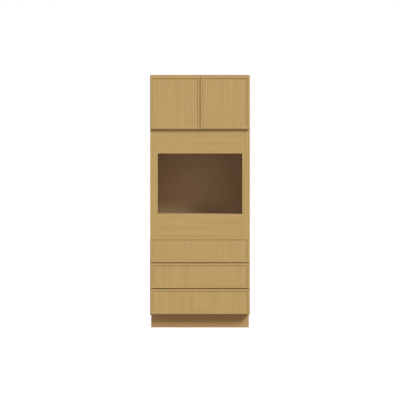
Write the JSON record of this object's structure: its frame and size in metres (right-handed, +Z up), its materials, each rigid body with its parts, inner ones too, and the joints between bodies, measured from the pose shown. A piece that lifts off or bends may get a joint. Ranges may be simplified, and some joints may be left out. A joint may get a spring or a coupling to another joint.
{
  "type": "tall kitchen cabinet",
  "caption": "Tall face-frame kitchen cabinet for a built-in oven: hinged doors at the top, a framed oven opening, stacked full-width drawers and a recessed toe board.",
  "frame": {"origin": "on the floor, at the middle of the cabinet's whole width and depth", "axes": "+X to the right and +Z up as one faces the doors, +Y towards the back"},
  "size_m": [0.8382, 0.6332, 2.1336],
  "materials": {
    "frame_veneer": "fine straight-grained oak veneer, clear matt lacquer",
    "door_veneer": "fine straight-grained oak veneer, clear matt lacquer",
    "toe_veneer": "oak veneer, clear matt lacquer",
    "carcase_plywood": "oak-faced plywood, clear matt lacquer",
    "carcase_softwood": "plain sanded plywood",
    "drawer_maple": "maple boards and plywood, clear satin lacquer",
    "galvanised_steel": "zinc-coated sheet steel",
    "nickel_steel": "nickel-plated steel",
    "bright_steel": "bright zinc-plated steel",
    "dark_plastic": "moulded grey plastic",
    "clear_rubber": "clear soft bumper"
  },
  "bodies": {
    "cabinet": {"left_side_panel": "carcase_plywood", "right_side_panel": "carcase_plywood", "top_panel": "carcase_plywood", "upper_deck": "carcase_plywood", "oven_deck": "carcase_plywood", "bottom_panel": "carcase_plywood", "back_panel": "carcase_plywood", "toe_kick": "toe_veneer", "left_stile": "frame_veneer", "right_stile": "frame_veneer", "left_oven_trim": "frame_veneer", "right_oven_trim": "frame_veneer", "top_rail": "frame_veneer", "oven_header": "frame_veneer", "oven_sill": "frame_veneer", "drawer_rails": "frame_veneer", "bottom_rail": "frame_veneer", "hanging_rails": "carcase_softwood", "oven_deck_cleats": "carcase_softwood", "adjustable_shelf": "carcase_plywood", "shelf_pins": "bright_steel", "cabinet_runners": "galvanised_steel", "rear_runner_brackets": "dark_plastic", "hinge_plates": "nickel_steel", "cabinet_screws": "bright_steel"},
    "left_hinge_arms": {"left_hinge_arms": "nickel_steel"},
    "left_door": {"left_door_hinge_stile": "door_veneer", "left_door_meeting_stile": "door_veneer", "left_door_top_rail": "door_veneer", "left_door_bottom_rail": "door_veneer", "left_door_panel": "door_veneer", "left_door_hinge_cups": "nickel_steel", "left_door_bumpers": "clear_rubber"},
    "right_hinge_arms": {"right_hinge_arms": "nickel_steel"},
    "right_door": {"right_door_hinge_stile": "door_veneer", "right_door_meeting_stile": "door_veneer", "right_door_top_rail": "door_veneer", "right_door_bottom_rail": "door_veneer", "right_door_panel": "door_veneer", "right_door_hinge_cups": "nickel_steel", "right_door_bumpers": "clear_rubber"},
    "drawer_1": {"drawer_1_front_frame": "door_veneer", "drawer_1_front_panel": "door_veneer", "drawer_1_box": "drawer_maple", "drawer_1_bottom": "drawer_maple", "drawer_1_runners": "galvanised_steel"},
    "drawer_1_middle_runners": {"drawer_1_middle_runners": "galvanised_steel"},
    "drawer_2": {"drawer_2_front_frame": "door_veneer", "drawer_2_front_panel": "door_veneer", "drawer_2_box": "drawer_maple", "drawer_2_bottom": "drawer_maple", "drawer_2_runners": "galvanised_steel"},
    "drawer_2_middle_runners": {"drawer_2_middle_runners": "galvanised_steel"},
    "drawer_3": {"drawer_3_front_frame": "door_veneer", "drawer_3_front_panel": "door_veneer", "drawer_3_box": "drawer_maple", "drawer_3_bottom": "drawer_maple", "drawer_3_runners": "galvanised_steel"},
    "drawer_3_middle_runners": {"drawer_3_middle_runners": "galvanised_steel"}
  },
  "joints": [
    {"name": "left_arm_swing", "type": "hinge", "parent": "cabinet", "child": "left_hinge_arms", "pos_m": [-0.36675, -0.2786, 1.8985], "axis": [0, 0, 1], "range_deg": [0, 31.5]},
    {"name": "left_door_swing", "type": "hinge", "parent": "left_hinge_arms", "child": "left_door", "pos_m": [-0.39925, -0.3026, 1.8985], "axis": [0, 0, -1], "range_deg": [0, 136.5]},
    {"name": "right_arm_swing", "type": "hinge", "parent": "cabinet", "child": "right_hinge_arms", "pos_m": [0.36675, -0.2786, 1.8985], "axis": [0, 0, -1], "range_deg": [0, 31.5]},
    {"name": "right_door_swing", "type": "hinge", "parent": "right_hinge_arms", "child": "right_door", "pos_m": [0.39925, -0.3026, 1.8985], "axis": [0, 0, 1], "range_deg": [0, 136.5]},
    {"name": "drawer_1_slide", "type": "slide", "parent": "cabinet", "child": "drawer_1", "axis": [0, -1, 0], "range_m": [0, 0.5]},
    {"name": "drawer_1_middle_slide", "type": "slide", "parent": "cabinet", "child": "drawer_1_middle_runners", "axis": [0, -1, 0], "range_m": [0, 0.25]},
    {"name": "drawer_2_slide", "type": "slide", "parent": "cabinet", "child": "drawer_2", "axis": [0, -1, 0], "range_m": [0, 0.5]},
    {"name": "drawer_2_middle_slide", "type": "slide", "parent": "cabinet", "child": "drawer_2_middle_runners", "axis": [0, -1, 0], "range_m": [0, 0.25]},
    {"name": "drawer_3_slide", "type": "slide", "parent": "cabinet", "child": "drawer_3", "axis": [0, -1, 0], "range_m": [0, 0.5]},
    {"name": "drawer_3_middle_slide", "type": "slide", "parent": "cabinet", "child": "drawer_3_middle_runners", "axis": [0, -1, 0], "range_m": [0, 0.25]}
  ],
  "couplings": [
    {"joint": "left_arm_swing", "follows": "left_door_swing", "ratio": 0.23077},
    {"joint": "right_arm_swing", "follows": "right_door_swing", "ratio": 0.23077},
    {"joint": "drawer_1_middle_slide", "follows": "drawer_1_slide", "ratio": 0.5},
    {"joint": "drawer_2_middle_slide", "follows": "drawer_2_slide", "ratio": 0.5},
    {"joint": "drawer_3_middle_slide", "follows": "drawer_3_slide", "ratio": 0.5}
  ]
}
